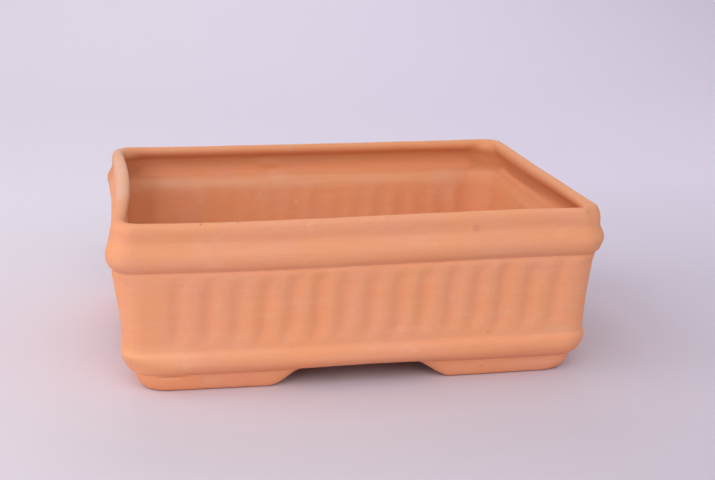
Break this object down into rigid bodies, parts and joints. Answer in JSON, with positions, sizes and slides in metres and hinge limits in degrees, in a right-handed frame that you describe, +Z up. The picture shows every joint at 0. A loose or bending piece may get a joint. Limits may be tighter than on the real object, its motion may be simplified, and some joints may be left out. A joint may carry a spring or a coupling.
{
  "type": "bonsai pot",
  "caption": "Rectangular unglazed terracotta bonsai pot with a beaded rim collar, fluted walls, a base bead, drain holes and corner feet with an arch between each pair.",
  "frame": {"origin": "on the surface the pot stands on, under the middle of the pot", "axes": "+X along the length, +Y from the front to the back, +Z up through the open top"},
  "size_m": [0.25, 0.2, 0.0895],
  "materials": {
    "terracotta": "unglazed matte fired clay, slip cast"
  },
  "bodies": {
    "root": {"rim_collar": "terracotta", "fluted_wall": "terracotta", "base_moulding": "terracotta", "floor_slab": "terracotta", "foot_front_left": "terracotta", "foot_front_right": "terracotta", "foot_back_left": "terracotta", "foot_back_right": "terracotta"}
  },
  "joints": []
}
